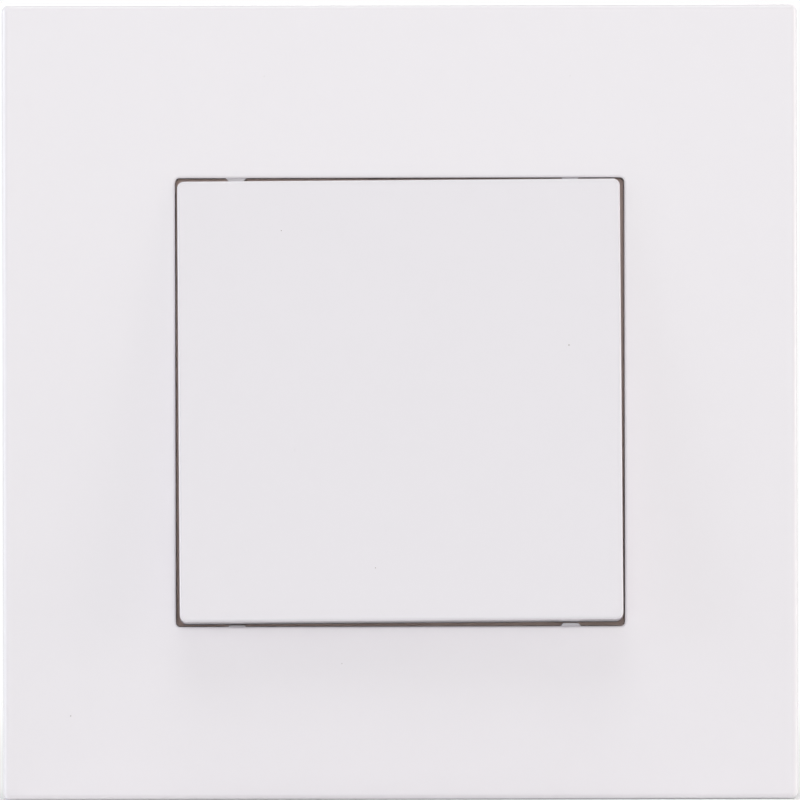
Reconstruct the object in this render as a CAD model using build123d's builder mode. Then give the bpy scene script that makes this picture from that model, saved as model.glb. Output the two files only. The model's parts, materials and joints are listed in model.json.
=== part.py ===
"""Two-way light switch: square front plate, one large rocker, push-in terminals at the back.

X points right, Z up, and the front faces -Y. The wall plane is Y = 0, and the origin is the
centre of the fixing slots on that plane. The rocker rests with its upper edge pressed in.
Sizes are in millimetres.
"""

import os
from math import cos, hypot, radians, sin, sqrt, tan

from build123d import *

# Front plate
plate_depth = 8.0
plate_wall = 1.8
plate_face = 2.0
plate_corner = 0.7
plate_edge = 0.6
window_corner = 0.45
window_edge = 0.25
collar_wall = 1.4
stiffener_wall = 0.9
stiffener_height = 2.4
stiffener_offset = 12.0
pry_notch_width = 9.0
pry_notch_height = 1.2
pry_notch_margin = 1.8

# Rocker: a cap on a cradle that tilts on two trunnions
cap_width = 44.55
cap_height = 44.4
cap_face = 1.6
cap_wall = 1.4
cap_corner = 0.7
cap_edge = 0.25
cap_skew = 0.3
cap_gap_x = 0.32
cap_gap_z = 0.375
cap_rib_wall = 1.0
cap_rib_gap = 0.03
cap_rib_spacing = 15.0
rocker_tilt = 4.0
axis_depth = 3.2
pressed_edge_proud = 0.34
skirt_clearance = 0.45
cradle_width = 30.0
cradle_height = 20.0
cradle_plate = 1.6
gusset_wall = 1.2
gusset_reach = 7.0
gusset_depth = 1.8
trunnion_radius = 1.2
trunnion_length = 2.2
trunnion_root = 2.0
bearing_clearance = 0.05
bearing_wall = 1.4
bearing_thickness = 1.6
bearing_gap = 0.3
bearing_lip = 0.6
snap_grip = 0.24
clip_width = 5.0
clip_wall = 1.2
clip_barb = 0.6
clip_spacing = 16.0
clip_clearance = 0.1
tower_radius = 3.2
tower_length = 9.2
bore_floor = 1.2

# Locating ribs that centre the cap in the window
rib_spacing = 33.6
rib_shift = 0.35
rib_width = 1.5
rib_root = 0.3
rib_reach = 0.7
rib_clearance = 0.05

# Sprung plunger
plunger_radius = 1.75
plunger_clearance = 0.05
plunger_reach = 11.6
plunger_nose = 1.2
plunger_taper = 50.0
plunger_body = 7.0
nose_clearance = 0.05
spring_wire = 0.4
spring_radius = 1.3
spring_turns = 3
spring_sides = 4

# Steel mounting frame, fixed on the centres of a round wall box
fixing_centres = 60.0
frame_land = 2.7
frame_margin = 1.7
frame_sheet = 1.0
frame_corner = 5.0
slot_length = 7.6
slot_width = 4.4
frame_window_gap = 0.8
bend_inside = 0.4
frame_flange_height = 3.6
frame_flange_length = 16.0
relief_width = 1.0
relief_depth = 1.8
tab_land = 3.9
tab_height = 4.0
tab_length = 8.0
tab_spacing = 40.0
tab_cutout = 4.0
tab_slot_height = 1.4
tab_slot_length = 5.4
tab_slot_rise = 2.2
leg_wall = 1.2
leg_clearance = 0.2
leg_barb = 0.7

# Mechanism housing
box_land = 8.2
body_chamfer = 7.0
body_wall = 1.6
seat_overlap = 2.5
seat_thickness = 1.9
seat_corner = 1.5
collar_gap = 0.2
cover_depth = 4.0
cover_front_wall = 1.7
spigot_wall = 1.2
spigot_depth = 1.6
spigot_clearance = 0.1
opening_corner = 1.0
tower_opening_gap = 0.5
hook_height = 1.1
hook_reach = 1.4
hook_tip = 0.7
hook_length = 9.0
hook_clearance = 0.15
slit_width = 0.8
slit_margin = 0.5
floor_thickness = 1.6
cell_depth = 8.0
cell_wall = 1.2
cell_gap = 0.8
rebate_depth = 1.5
rebate_wall = 0.8
rebate_clearance = 0.1

# Contact lever and its pivot pin
lever_stand = 2.0
lever_sheet = 0.8
lever_width = 6.0
lever_tip_width = 4.6
lever_arm = 9.2
lever_tilt = 6.0
cheek_wall = 0.8
cheek_radius = 1.0
cheek_length = 3.2
pin_radius = 0.5
pin_clearance = 0.05
pin_fit = 0.02
pin_overhang = 0.3
ear_gap = 0.4
ear_radius = 1.3
lever_floor_gap = 0.1

# Contacts
contact_arm = 7.2
contact_radius = 1.5
contact_height = 0.8
contact_crown = 0.3
shank_radius = 0.8
shank_fit = 0.02
contact_gap = 0.02
fixed_contact_radius = 1.7

# Terminals, clamp springs and release levers
strip_sheet = 0.8
strip_bend = 0.9
strip_end_gap = 1.0
strip_slot_gap = 0.2
strip_bend_room = 0.45
tab_width = 5.0
tab_margin = 0.3
strap_width = 6.0
strap_margin = 0.4
clamp_margin = 4.7
step_length = 3.5
cell_clearance = 0.5
guide_wall = 0.8
guide_height = 1.0
guide_length = 4.0
guide_clearance = 0.1
leaf_sheet = 0.4
leaf_spread = 5.1
leaf_bend = 1.1
leaf_length = 6.9
leaf_tip_depth = 1.3
leaf_tip_gap = 0.05
entry_radius = 1.2
entry_lead_in = 0.6
entry_land = 0.15
funnel_angle = 45.0
entry_margin = 1.5
entry_inset = 1.5
entry_plate = 2.5
release_width = 4.0
release_height = 3.0
release_lead = 2.2
release_clearance = 0.2
release_stop_gap = 0.1
release_flange = 0.5
release_flange_depth = 0.9
release_proud = 0.8
release_foot = 1.9
release_foot_gap = 0.25

# Sizes that follow from the wall box's centres
body_size = fixing_centres - 2 * box_land
frame_size = fixing_centres + slot_length + 2 * frame_land
plate_size = frame_size + 2 * (frame_margin + plate_wall)
frame_window = body_size + 2 * frame_window_gap
flange_outer = frame_window / 2 + frame_sheet
tab_offset = flange_outer + tab_land
tab_outer = tab_offset + frame_sheet
clamp_offset = body_size / 2 - body_wall - clamp_margin
leaf_offset = clamp_offset - leaf_spread
leaf_seat = leaf_offset - leaf_sheet / 2
clamp_width = 2 * (leaf_seat - 2 * cell_wall - cell_gap - cell_clearance)
entry_offset = clamp_offset - entry_inset
entry_spacing = clamp_width - 2 * entry_margin
release_offset = leaf_offset + release_lead

# Depths and places that follow from the rest
tilt = radians(rocker_tilt)
skew = radians(cap_skew)
swing = radians(lever_tilt)
cap_half = cap_height / 2
axis_y = -(plate_depth + pressed_edge_proud + cap_half * sin(tilt) - axis_depth * cos(tilt))
seat_front = -(frame_sheet + seat_thickness)
collar_back = seat_front - collar_gap
skirt_end = seat_front - skirt_clearance
skirt_depth = axis_depth + (skirt_end - axis_y - cap_half * sin(tilt)) / cos(tilt)
window_width = cap_width + 2 * cap_gap_x
window_height = cap_height + 2 * cap_gap_z
face_back = -(plate_depth - plate_face)
lever_axis_y = axis_y + plunger_reach + plunger_nose + nose_clearance + lever_stand
strip_front = lever_axis_y + cheek_radius + lever_floor_gap
strip_back = strip_front + strip_sheet
floor_back = strip_back + floor_thickness
cover_back = cover_depth - frame_sheet
entry_inside = floor_back + cell_depth
entry_outside = entry_inside + entry_plate
housing_back = entry_inside + rebate_depth
tab_slot_y = -(frame_sheet + tab_slot_rise)
hook_y = frame_flange_height / 2
bore_radius = plunger_radius + plunger_clearance
bore_end = bore_floor - cradle_plate / 2
taper = radians(plunger_taper)
taper_start = plunger_reach + plunger_nose * cos(taper)
taper_end = taper_start - (plunger_radius - plunger_nose * sin(taper)) * tan(taper)
plunger_back = taper_end - plunger_body
ear_inner = lever_width / 2 + ear_gap
ear_outer = ear_inner + strip_sheet

# The moving contact's tip meets the flat fixed one when the lever is over
crown_tip = lever_stand - lever_sheet - contact_height
touch_offset = contact_arm * cos(swing) + crown_tip * sin(swing)
fixed_face_y = lever_axis_y + contact_arm * sin(swing) - crown_tip * cos(swing) + contact_gap

# Each terminal's cell points away from the centre, square to its across direction
cells = {"upper": (1, 0, 0), "lower": (-1, 0, 0), "common": (0, 0, -1)}
travellers = {"upper": (1, 0, 0), "lower": (-1, 0, 0)}


def seen_from_front(y, across=(1, 0, 0)):
    """A plane across the depth at y, with x along across, that extrudes towards the front."""
    return Plane(origin=(0, y, 0), x_dir=across, z_dir=(0, -1, 0))


def seen_from_side(across=(1, 0, 0)):
    """A plane whose x is the depth and whose y points out from the centre, square to across."""
    return Plane(origin=(0, 0, 0), x_dir=(0, 1, 0), z_dir=across)


def body_outline(y, inset=0.0):
    """The housing's square with cut corners, the same distance inside its wall all round."""
    size = body_size - 2 * inset
    corner_cut = body_chamfer - inset * (2 - sqrt(2))
    with BuildSketch(seen_from_front(y)) as outline:
        Rectangle(size, size)
        chamfer(outline.vertices(), corner_cut)
    return outline.sketch


# The rocker's planes at rest: z points out of the rocker's face from the tilt axis
rocker_plane = Plane(
    origin=(0, axis_y, 0), x_dir=(1, 0, 0), z_dir=(0, -cos(tilt), sin(tilt))
)
cap_plane = Plane(
    origin=rocker_plane.origin,
    x_dir=rocker_plane.x_dir * cos(skew) + rocker_plane.y_dir * sin(skew),
    z_dir=rocker_plane.z_dir,
)

# The contact lever's plane at rest: its lower arm is swung back onto the lower contact
lever_plane = Plane(
    origin=(0, lever_axis_y, 0), x_dir=(1, 0, 0), z_dir=(0, -cos(swing), -sin(swing))
)


# Front plate: a shell with a collar round its window, and clip legs and stiffeners behind
cap_sweep = cap_half / cos(tilt) + rib_reach * tan(tilt)
rib_room = window_height / 2 - cap_sweep - rib_clearance
leg_inner = tab_outer + leg_clearance
leg_outer = leg_inner + leg_wall
barb_y = tab_slot_y - tab_slot_height / 2 + leg_clearance

with BuildPart() as front_plate:
    with BuildSketch(seen_from_front(0)):
        RectangleRounded(plate_size, plate_size, plate_corner)
    extrude(amount=plate_depth)
    with BuildSketch(seen_from_front(0)):
        Rectangle(plate_size - 2 * plate_wall, plate_size - 2 * plate_wall)
    extrude(amount=-face_back, mode=Mode.SUBTRACT)

    with BuildSketch(seen_from_front(collar_back)):
        Rectangle(window_width + 2 * collar_wall, window_height + 2 * collar_wall)
    extrude(amount=collar_back - face_back)

    stiffener_start = (window_height + collar_wall) / 2
    stiffener_end = (plate_size - plate_wall) / 2
    stiffener_length = stiffener_end - stiffener_start
    stiffener_middle = stiffener_end + stiffener_start
    with BuildSketch(seen_from_front(face_back + stiffener_height)):
        with GridLocations(stiffener_middle, 2 * stiffener_offset, 2, 2):
            Rectangle(stiffener_length, stiffener_wall)
        with GridLocations(2 * stiffener_offset, stiffener_middle, 2, 2):
            Rectangle(stiffener_wall, stiffener_length)
    extrude(amount=stiffener_height)

    with BuildSketch(seen_from_front(0)):
        RectangleRounded(window_width, window_height, window_corner)
    extrude(amount=plate_depth, mode=Mode.SUBTRACT)
    outer_edges = front_plate.faces().sort_by(Axis.Y)[0].outer_wire().edges()
    fillet(outer_edges, plate_edge)
    window_edges = front_plate.faces().sort_by(Axis.Y)[0].inner_wires()[0].edges()
    fillet(window_edges, window_edge)

    # The locating ribs stand at the depth of the tilt axis, where the cap sweeps least, and
    # each ends just short of the cap, which hangs slightly askew
    with BuildSketch(seen_from_front(axis_y + rib_reach)):
        for place in (rib_shift - rib_spacing / 2, rib_shift + rib_spacing / 2):
            for side in (-1, 1):
                rib_height = rib_room - side * place * sin(skew)
                rib_base = rib_width / 2 + rib_height
                wall = side * window_height / 2
                root = wall + side * rib_root
                top = wall - side * rib_height
                with Locations((place, 0)):
                    Polygon(
                        (-rib_base, root),
                        (-rib_base, wall),
                        (-rib_width / 2, top),
                        (rib_width / 2, top),
                        (rib_base, wall),
                        (rib_base, root),
                        align=None,
                    )
    extrude(amount=2 * rib_reach)

    # Clip legs with barbs that catch in the mounting frame's tabs
    for level in (-tab_spacing / 2, tab_spacing / 2):
        with BuildSketch(Plane.XY.offset(level)):
            for side in (-1, 1):
                Polygon(
                    (side * leg_inner, face_back),
                    (side * leg_inner, barb_y),
                    (side * (leg_inner - leg_barb), barb_y),
                    (side * leg_inner, tab_slot_y + tab_slot_height / 2),
                    (side * leg_inner, -frame_sheet - leg_clearance),
                    (side * leg_outer, -frame_sheet - leg_clearance),
                    (side * leg_outer, face_back),
                    align=None,
                )
        extrude(amount=tab_slot_length / 2 - leg_clearance, both=True)

    # A notch in the lower rim takes the blade that prises the plate off
    with BuildSketch(seen_from_front(0)):
        with Locations((0, -plate_size / 2)):
            Rectangle(pry_notch_width, 2 * (plate_wall + pry_notch_margin))
    extrude(amount=pry_notch_height, mode=Mode.SUBTRACT)


# Mounting frame: a sheet with fixing slots, tabs bent forwards and flanges bent into the wall
def bend_lines(x, y, length):
    """The frame's upright edges of this length at this depth, this far either side."""
    return mounting_frame.edges().filter_by(
        lambda e: abs(abs(e.center().X) - x) < 0.01
        and abs(e.center().Y - y) < 0.01
        and abs(e.length - length) < 0.01
    )


with BuildPart() as mounting_frame:
    with BuildSketch(seen_from_front(0)):
        RectangleRounded(frame_size, frame_size, frame_corner)
        Rectangle(frame_window, frame_window, mode=Mode.SUBTRACT)
        with GridLocations(fixing_centres, 0, 2, 1):
            SlotOverall(slot_length, slot_width, mode=Mode.SUBTRACT)
        with GridLocations(0, fixing_centres, 1, 2):
            SlotOverall(slot_length, slot_width, rotation=90, mode=Mode.SUBTRACT)
        with GridLocations(2 * tab_outer + tab_cutout, tab_spacing, 2, 2):
            Rectangle(tab_cutout, tab_length, mode=Mode.SUBTRACT)
        with GridLocations(
            frame_window + relief_depth, frame_flange_length + relief_width, 2, 2
        ):
            Rectangle(relief_depth, relief_width, mode=Mode.SUBTRACT)
    extrude(amount=frame_sheet)

    with BuildSketch(seen_from_front(-frame_sheet)):
        with GridLocations(tab_offset + tab_outer, tab_spacing, 2, 2):
            Rectangle(frame_sheet, tab_length)
    extrude(amount=tab_height)
    with BuildSketch(seen_from_front(tab_slot_y + tab_slot_height / 2)):
        with GridLocations(tab_offset + tab_outer, tab_spacing, 2, 2):
            Rectangle(2 * frame_sheet, tab_slot_length)
    extrude(amount=tab_slot_height, mode=Mode.SUBTRACT)

    with BuildSketch(seen_from_front(frame_flange_height)):
        with GridLocations(frame_window + frame_sheet, 0, 2, 1):
            Rectangle(frame_sheet, frame_flange_length)
    extrude(amount=frame_flange_height)
    with BuildSketch(seen_from_front(hook_y + hook_height / 2 + hook_clearance)):
        with GridLocations(frame_window + frame_sheet, 0, 2, 1):
            Rectangle(2 * frame_sheet, hook_length + 2 * hook_clearance)
    extrude(amount=hook_height + 2 * hook_clearance, mode=Mode.SUBTRACT)

    fillet(bend_lines(tab_offset, -frame_sheet, tab_length), bend_inside)
    fillet(bend_lines(flange_outer, 0, frame_flange_length), bend_inside)


# Mechanism cover: seats on the frame, carries the rocker's bearings, lets the tower through
bearing_radius = trunnion_radius + bearing_clearance
bearing_half = bearing_radius + bearing_wall
bearing_inner = cradle_width / 2 + bearing_gap
bearing_top = axis_y - bearing_lip
snap_width = 2 * (trunnion_radius - snap_grip)
opening_width = 2 * (tower_radius + tower_opening_gap)
opening_height = opening_width + 2 * tower_length * sin(tilt)
spigot_inside = body_wall + spigot_clearance + spigot_wall
spigot_back = cover_back + spigot_depth
tongue_width = hook_length + 2 * hook_clearance
slit_reach = 2 * (spigot_inside + slit_margin)

with BuildPart() as mechanism_cover:
    with BuildSketch(seen_from_front(-frame_sheet)):
        seat_size = body_size + 2 * seat_overlap
        RectangleRounded(seat_size, seat_size, seat_corner)
    extrude(amount=seat_thickness)
    extrude(body_outline(cover_back), amount=cover_depth)
    extrude(body_outline(spigot_back, inset=body_wall + spigot_clearance), amount=spigot_depth)
    extrude(
        body_outline(spigot_back, inset=spigot_inside),
        amount=spigot_back - seat_front - cover_front_wall,
        mode=Mode.SUBTRACT,
    )

    with BuildSketch(seen_from_front(0)):
        RectangleRounded(opening_width, opening_height, opening_corner)
    extrude(amount=plate_depth, mode=Mode.SUBTRACT)

    # Snap bearings, open to the front, for the cradle's trunnions
    for side in (-1, 1):
        bearing_middle = side * (bearing_inner + bearing_thickness / 2)
        with BuildSketch(seen_from_side().offset(bearing_middle)):
            Polygon(
                (seat_front, -bearing_half - bearing_wall),
                (axis_y, -bearing_half),
                (bearing_top, -bearing_half),
                (bearing_top, bearing_half),
                (axis_y, bearing_half),
                (seat_front, bearing_half + bearing_wall),
                align=None,
            )
            with Locations((axis_y, 0)):
                Circle(bearing_radius, mode=Mode.SUBTRACT)
            with Locations((axis_y - trunnion_radius, 0)):
                Rectangle(2 * trunnion_radius, snap_width, mode=Mode.SUBTRACT)
        extrude(amount=bearing_thickness / 2, both=True)

    # Tongues in the side walls carry hooks that click into the frame's flanges
    with BuildSketch(seen_from_front(spigot_back)):
        with GridLocations(body_size, 0, 2, 1):
            Rectangle(slit_reach, tongue_width + 2 * slit_width)
    extrude(amount=spigot_depth, mode=Mode.SUBTRACT)
    with BuildSketch(seen_from_front(cover_back)):
        with GridLocations(body_size, tongue_width + slit_width, 2, 2):
            Rectangle(slit_reach, slit_width)
    extrude(amount=cover_back, mode=Mode.SUBTRACT)
    with BuildSketch(Plane.XY):
        for side in (-1, 1):
            hook_root = side * (body_size - body_wall) / 2
            Polygon(
                (hook_root, hook_y - hook_height / 2),
                (side * (body_size / 2 + hook_reach), hook_y - hook_height / 2),
                (side * (body_size / 2 + hook_tip), hook_y + hook_height / 2),
                (hook_root, hook_y + hook_height / 2),
                align=None,
            )
    extrude(amount=hook_length / 2, both=True)


# Rear housing: a tube with a floor inside, contacts in front of it and three cells behind
cell_half = clamp_width / 2 + cell_clearance
cell_reach = (body_size - body_wall) / 2

with BuildPart() as rear_housing:
    extrude(body_outline(housing_back), amount=housing_back - cover_back)
    extrude(
        body_outline(strip_back, inset=body_wall),
        amount=strip_back - cover_back,
        mode=Mode.SUBTRACT,
    )
    extrude(
        body_outline(housing_back, inset=body_wall),
        amount=housing_back - floor_back,
        mode=Mode.SUBTRACT,
    )
    extrude(
        body_outline(housing_back, inset=rebate_wall), amount=rebate_depth, mode=Mode.SUBTRACT
    )

    for across in cells.values():
        with BuildSketch(seen_from_front(entry_inside, across)):
            with Locations((0, (leaf_seat - cell_wall + cell_reach) / 2)):
                Rectangle(2 * (cell_half + cell_wall), cell_reach - leaf_seat + cell_wall)
            with Locations((0, (leaf_seat + cell_reach) / 2)):
                Rectangle(2 * cell_half, cell_reach - leaf_seat, mode=Mode.SUBTRACT)
        extrude(amount=cell_depth)

    # Slots in the floor for the terminal strips, wide enough for the inside of their bends
    for across in cells.values():
        with BuildSketch(seen_from_front(floor_back, across)):
            with Locations((0, clamp_offset - strip_bend_room / 2)):
                Rectangle(
                    clamp_width + 2 * strip_slot_gap,
                    strip_sheet + strip_bend_room + 2 * strip_slot_gap,
                )
        extrude(amount=floor_thickness, mode=Mode.SUBTRACT)

    # Ribs on the floor keep the travellers' contact tabs square
    for across in travellers.values():
        with BuildSketch(seen_from_front(strip_back, across)):
            with Locations((0, touch_offset)):
                with GridLocations(tab_width + 2 * guide_clearance + guide_wall, 0, 2, 1):
                    Rectangle(guide_wall, guide_length)
        extrude(amount=guide_height)


# Terminal cover: closes the cells, with two wire entries and a release slot for each terminal
funnel_half = entry_radius + entry_land + entry_lead_in * tan(radians(funnel_angle))
with BuildPart() as terminal_cover:
    extrude(body_outline(entry_outside, inset=rebate_wall + rebate_clearance), amount=entry_plate)
    for across in cells.values():
        with BuildSketch(seen_from_front(entry_outside, across)):
            with Locations((0, release_offset)):
                Rectangle(
                    release_width + 2 * release_clearance, release_height + 2 * release_clearance
                )
            with Locations((0, entry_offset)):
                with GridLocations(entry_spacing, 0, 2, 1):
                    Circle(entry_radius)
        extrude(amount=entry_plate, mode=Mode.SUBTRACT)
        with BuildSketch(seen_from_front(entry_outside, across)):
            with Locations((0, entry_offset)):
                with GridLocations(entry_spacing, 0, 2, 1):
                    Rectangle(2 * funnel_half, 2 * funnel_half)
        extrude(amount=entry_lead_in, taper=funnel_angle, mode=Mode.SUBTRACT)


# Rocker cap: a shallow box whose skirt drops into the window, with clips for the cradle
cap_inside = axis_depth - cap_face
cradle_front = cradle_plate / 2
clip_inner = cradle_height / 2 + clip_clearance
clip_outer = clip_inner + clip_wall
clip_catch = -cradle_front - clip_clearance
clip_end = clip_catch - 2 * clip_barb

with BuildPart() as rocker_cap:
    with BuildSketch(cap_plane.offset(axis_depth - skirt_depth)):
        RectangleRounded(cap_width, cap_height, cap_corner)
    extrude(amount=skirt_depth)
    with BuildSketch(cap_plane.offset(axis_depth - skirt_depth)):
        Rectangle(cap_width - 2 * cap_wall, cap_height - 2 * cap_wall)
    extrude(amount=skirt_depth - cap_face, mode=Mode.SUBTRACT)
    cap_front = rocker_cap.faces().filter_by(
        lambda f: abs(cap_plane.to_local_coords(f.center()).Z - axis_depth) < 0.01
    )
    fillet(cap_front.edges(), cap_edge)

    # Ribs that bear on the cradle
    with BuildSketch(cap_plane.offset(cradle_front + cap_rib_gap)):
        with GridLocations(cap_rib_spacing, 0, 2, 1):
            Rectangle(cap_rib_wall, cap_height - 2 * cap_wall)
        with GridLocations(0, cradle_height / 2, 1, 2):
            Rectangle(cap_rib_spacing, cap_rib_wall)
    extrude(amount=cap_inside - cradle_front - cap_rib_gap)

    # Clips that grip the cradle's upper and lower edges
    clip_plane = Plane(
        origin=cap_plane.origin, x_dir=cap_plane.y_dir, z_dir=cap_plane.x_dir
    )
    for place in (-clip_spacing / 2, clip_spacing / 2):
        with BuildSketch(clip_plane.offset(place)):
            for side in (-1, 1):
                Polygon(
                    (side * clip_inner, cap_inside),
                    (side * clip_inner, clip_catch),
                    (side * (clip_inner - clip_barb), clip_catch),
                    (side * clip_inner, clip_end),
                    (side * clip_outer, clip_end),
                    (side * clip_outer, cap_inside),
                    align=None,
                )
        extrude(amount=clip_width / 2, both=True)


# Rocker cradle: the plate behind the cap, two trunnions and the tower that holds the plunger
with BuildPart() as rocker_cradle:
    with BuildSketch(rocker_plane.offset(-cradle_plate / 2)):
        Rectangle(cradle_width, cradle_height)
    extrude(amount=cradle_plate)
    for side in (-1, 1):
        trunnion_start = cradle_width / 2 - trunnion_root
        with BuildSketch(
            Plane(
                origin=(side * trunnion_start, axis_y, 0), x_dir=(0, 1, 0), z_dir=(side, 0, 0)
            )
        ):
            Circle(trunnion_radius)
        extrude(amount=trunnion_root + trunnion_length)
    with BuildSketch(rocker_plane.offset(-tower_length)):
        Circle(tower_radius)
    extrude(amount=tower_length)
    with BuildSketch(Plane(origin=rocker_plane.origin, x_dir=(1, 0, 0), z_dir=rocker_plane.y_dir)):
        for side in (-1, 1):
            Polygon(
                (0, 0),
                (0, cradle_front + gusset_depth),
                (side * tower_radius, cradle_front + gusset_depth),
                (side * (tower_radius + gusset_reach), cradle_front),
                (side * (tower_radius + gusset_reach), 0),
                align=None,
            )
    extrude(amount=gusset_wall / 2, both=True)
    with BuildSketch(rocker_plane.offset(-tower_length)):
        Circle(bore_radius)
    extrude(amount=tower_length - bore_end, mode=Mode.SUBTRACT)


# Plunger: slides in the tower, and its round nose runs on the contact lever
plunger_plane = Plane(
    origin=rocker_plane.origin, x_dir=(1, 0, 0), z_dir=rocker_plane.y_dir
)
with BuildPart() as plunger:
    with BuildSketch(plunger_plane):
        with BuildLine():
            Polyline(
                (0, plunger_reach + plunger_nose),
                (0, plunger_back),
                (plunger_radius, plunger_back),
                (plunger_radius, taper_end),
                (plunger_nose * sin(taper), taper_start),
            )
            RadiusArc(
                (plunger_nose * sin(taper), taper_start),
                (0, plunger_reach + plunger_nose),
                -plunger_nose,
            )
        make_face()
    revolve(axis=Axis(rocker_plane.origin, rocker_plane.z_dir))


# Plunger spring: a helix between the bore's end and the plunger's back
spring_height = plunger_back - bore_end - spring_wire
spring_start = rocker_plane.from_local_coords((0, 0, -plunger_back + spring_wire / 2))
with BuildPart() as plunger_spring:
    with BuildLine() as coil:
        Helix(
            pitch=spring_height / spring_turns,
            height=spring_height,
            radius=spring_radius,
            center=spring_start,
            direction=rocker_plane.z_dir,
        )
    with BuildSketch(Plane(origin=coil.line @ 0, z_dir=coil.line % 0)):
        RegularPolygon(spring_wire / 2, spring_sides)
    sweep(is_frenet=True)


# Contact lever: a strip with two cheeks that hang on the pivot pin
shank_hole = shank_radius + shank_fit
with BuildPart() as contact_lever:
    with BuildSketch(lever_plane.offset(lever_stand - lever_sheet)):
        Polygon(
            (-lever_tip_width / 2, -lever_arm),
            (lever_tip_width / 2, -lever_arm),
            (lever_width / 2, -cheek_length),
            (lever_width / 2, cheek_length),
            (lever_tip_width / 2, lever_arm),
            (-lever_tip_width / 2, lever_arm),
            (-lever_width / 2, cheek_length),
            (-lever_width / 2, -cheek_length),
            align=None,
        )
        with GridLocations(0, 2 * contact_arm, 1, 2):
            Circle(shank_hole, mode=Mode.SUBTRACT)
    extrude(amount=lever_sheet)
    cheek_plane = Plane(
        origin=lever_plane.origin, x_dir=lever_plane.y_dir, z_dir=lever_plane.x_dir
    )
    for side in (-1, 1):
        cheek_middle = side * (lever_width - cheek_wall) / 2
        with BuildSketch(cheek_plane.offset(cheek_middle)):
            Circle(cheek_radius)
            Polygon(
                (-cheek_radius, 0),
                (cheek_radius, 0),
                (cheek_length, lever_stand - lever_sheet / 2),
                (-cheek_length, lever_stand - lever_sheet / 2),
                align=None,
            )
            Circle(pin_radius + pin_clearance, mode=Mode.SUBTRACT)
        extrude(amount=cheek_wall / 2, both=True)


# Moving contacts: pointed rivets through the lever's arms
rivet_plane = Plane(
    origin=lever_plane.origin, x_dir=lever_plane.x_dir, z_dir=-lever_plane.y_dir
)
lever_rear = lever_stand - lever_sheet


def moving_contact(arm):
    """A rivet with its head's shallow cone behind the lever and its shank flush in front."""
    with BuildPart() as rivet:
        with BuildSketch(rivet_plane.offset(-arm)):
            Polygon(
                (0, crown_tip),
                (contact_radius, crown_tip + contact_crown),
                (contact_radius, lever_rear),
                (shank_radius, lever_rear),
                (shank_radius, lever_stand),
                (0, lever_stand),
                align=None,
            )
        revolve(axis=Axis(lever_plane.origin + lever_plane.y_dir * arm, lever_plane.z_dir))
    return rivet


# Fixed contacts: flat rivets in the travellers' tabs
def fixed_contact(across):
    """A flat-faced rivet that meets the moving contact's tip when the lever is over."""
    with BuildPart() as rivet:
        with BuildSketch(seen_from_front(strip_front, across)):
            with Locations((0, touch_offset)):
                Circle(fixed_contact_radius)
        extrude(amount=strip_front - fixed_face_y)
        with BuildSketch(seen_from_front(strip_back, across)):
            with Locations((0, touch_offset)):
                Circle(shank_radius)
        extrude(amount=strip_sheet)
    return rivet


# Terminal strips: flat on the floor, then bent back along the outer side of their cells
strip_middle = strip_front + strip_sheet / 2
strip_end = entry_inside - strip_end_gap


def terminal_strip(across, start, width):
    """A strip from start out to the clamp, this wide up to its step and clamp_width beyond."""
    step = clamp_offset - step_length
    with BuildPart() as strip:
        with BuildSketch(seen_from_side(across)):
            with BuildLine():
                FilletPolyline(
                    (strip_middle, start),
                    (strip_middle, clamp_offset),
                    (strip_end, clamp_offset),
                    radius=strip_bend,
                )
            trace(line_width=strip_sheet)
        extrude(amount=clamp_width / 2, both=True)
        with BuildSketch(seen_from_front(strip_back, across)):
            with Locations((0, (start + step) / 2)):
                Rectangle(2 * clamp_width, step - start)
                Rectangle(width, step - start, mode=Mode.SUBTRACT)
        extrude(amount=strip_sheet, mode=Mode.SUBTRACT)
    return strip.part


def traveller_terminal(across):
    """A strip whose inner end carries a fixed contact."""
    with BuildPart() as terminal:
        add(terminal_strip(across, touch_offset - fixed_contact_radius - tab_margin, tab_width))
        with BuildSketch(seen_from_front(strip_back, across)):
            with Locations((0, touch_offset)):
                Circle(shank_hole)
        extrude(amount=strip_sheet, mode=Mode.SUBTRACT)
    return terminal


with BuildPart() as common_terminal:
    add(terminal_strip(cells["common"], -ear_outer - strap_margin, strap_width))
    for side in (-1, 1):
        ear_middle = side * (ear_inner + ear_outer) / 2
        with BuildSketch(seen_from_side().offset(ear_middle)):
            with Locations((lever_axis_y, 0)):
                Circle(ear_radius)
            Polygon(
                (lever_axis_y, -ear_radius),
                (strip_middle, -ear_radius - strip_sheet),
                (strip_middle, ear_radius + strip_sheet),
                (lever_axis_y, ear_radius),
                align=None,
            )
            with Locations((lever_axis_y, 0)):
                Circle(pin_radius + pin_fit, mode=Mode.SUBTRACT)
        extrude(amount=strip_sheet / 2, both=True)


# Pivot pin: held in the common terminal's ears
with BuildPart() as pivot_pin:
    with BuildSketch(Plane(origin=(0, lever_axis_y, 0), x_dir=(0, 1, 0), z_dir=(1, 0, 0))):
        Circle(pin_radius)
    extrude(amount=ear_outer + pin_overhang, both=True)


# Clamp springs: leaves folded back on themselves, whose free edge grips the wires
leaf_corner_y = floor_back + leaf_length
leaf_tip_y = floor_back + leaf_tip_depth
leaf_tip = clamp_offset - (strip_sheet + leaf_sheet) / 2 - leaf_tip_gap


def clamp_spring(across):
    """A leaf that seats on its cell's inner wall and leans out towards the strip."""
    with BuildPart() as leaf:
        with BuildSketch(seen_from_side(across)):
            with BuildLine():
                FilletPolyline(
                    (floor_back, leaf_offset),
                    (leaf_corner_y, leaf_offset),
                    (leaf_tip_y, leaf_tip),
                    radius=leaf_bend,
                )
            trace(line_width=leaf_sheet)
        extrude(amount=clamp_width / 2, both=True)
    return leaf


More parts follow.
